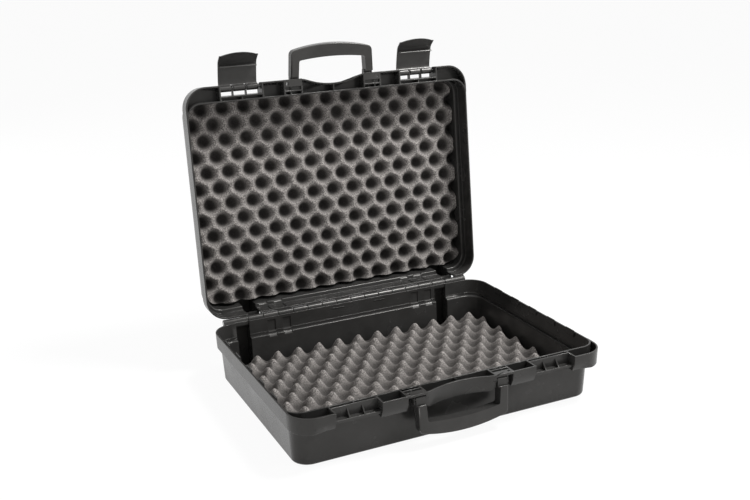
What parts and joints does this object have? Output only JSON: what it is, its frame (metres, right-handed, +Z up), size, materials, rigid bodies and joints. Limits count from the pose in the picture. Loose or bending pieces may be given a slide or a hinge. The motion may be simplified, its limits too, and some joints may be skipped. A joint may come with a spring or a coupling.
{
  "type": "carrying case",
  "caption": "Black moulded carrying case with an open hinged lid, draw latches, folding handles on both halves and convoluted grey foam.",
  "frame": {"origin": "centre of the base's flat bottom face, on the surface that the case stands on", "axes": "+X runs to the right seen from the front, along the hinge; +Y runs from the handle side to the hinge side; +Z is up"},
  "size_m": [0.44, 0.4318, 0.4532],
  "materials": {
    "shell_plastic": "fine satin moulding grain",
    "handle_plastic": "satin, smooth edges",
    "latch_plastic": "satin, smooth",
    "foam": "open-cell foam, matt",
    "pin_steel": "drawn wire"
  },
  "bodies": {
    "base": {"base_shell": "shell_plastic", "base_foam": "foam", "hinge_rod": "pin_steel", "base_handle_pin_left": "pin_steel", "base_handle_pin_right": "pin_steel"},
    "lid": {"lid_shell": "shell_plastic", "lid_foam": "foam", "lid_handle_pin_left": "pin_steel", "lid_handle_pin_right": "pin_steel", "latch_pin_left": "pin_steel", "latch_pin_right": "pin_steel"},
    "latch_left": {"latch_left": "latch_plastic"},
    "latch_right": {"latch_right": "latch_plastic"},
    "base_handle": {"base_handle": "handle_plastic"},
    "lid_handle": {"lid_handle": "handle_plastic"}
  },
  "joints": [
    {"name": "lid_hinge", "type": "hinge", "parent": "base", "child": "lid", "pos_m": [0, 0.16343, 0.0726], "axis": [1, 0, 0], "range_deg": [0, 95.8]},
    {"name": "latch_left_pivot", "type": "hinge", "parent": "lid", "child": "latch_left", "pos_m": [-0.1386, 0.20976, 0.39909], "axis": [1, 0, 0], "range_deg": [-25, 75]},
    {"name": "latch_right_pivot", "type": "hinge", "parent": "lid", "child": "latch_right", "pos_m": [0.1386, 0.20976, 0.39909], "axis": [1, 0, 0], "range_deg": [-25, 75]},
    {"name": "base_handle_pivot", "type": "hinge", "parent": "base", "child": "base_handle", "pos_m": [0, -0.16817, 0.0645], "axis": [1, 0, 0], "range_deg": [-76, 14]},
    {"name": "lid_handle_pivot", "type": "hinge", "parent": "lid", "child": "lid_handle", "pos_m": [0, 0.205, 0.40168], "axis": [1, 0, 0], "range_deg": [-108, 0]}
  ]
}
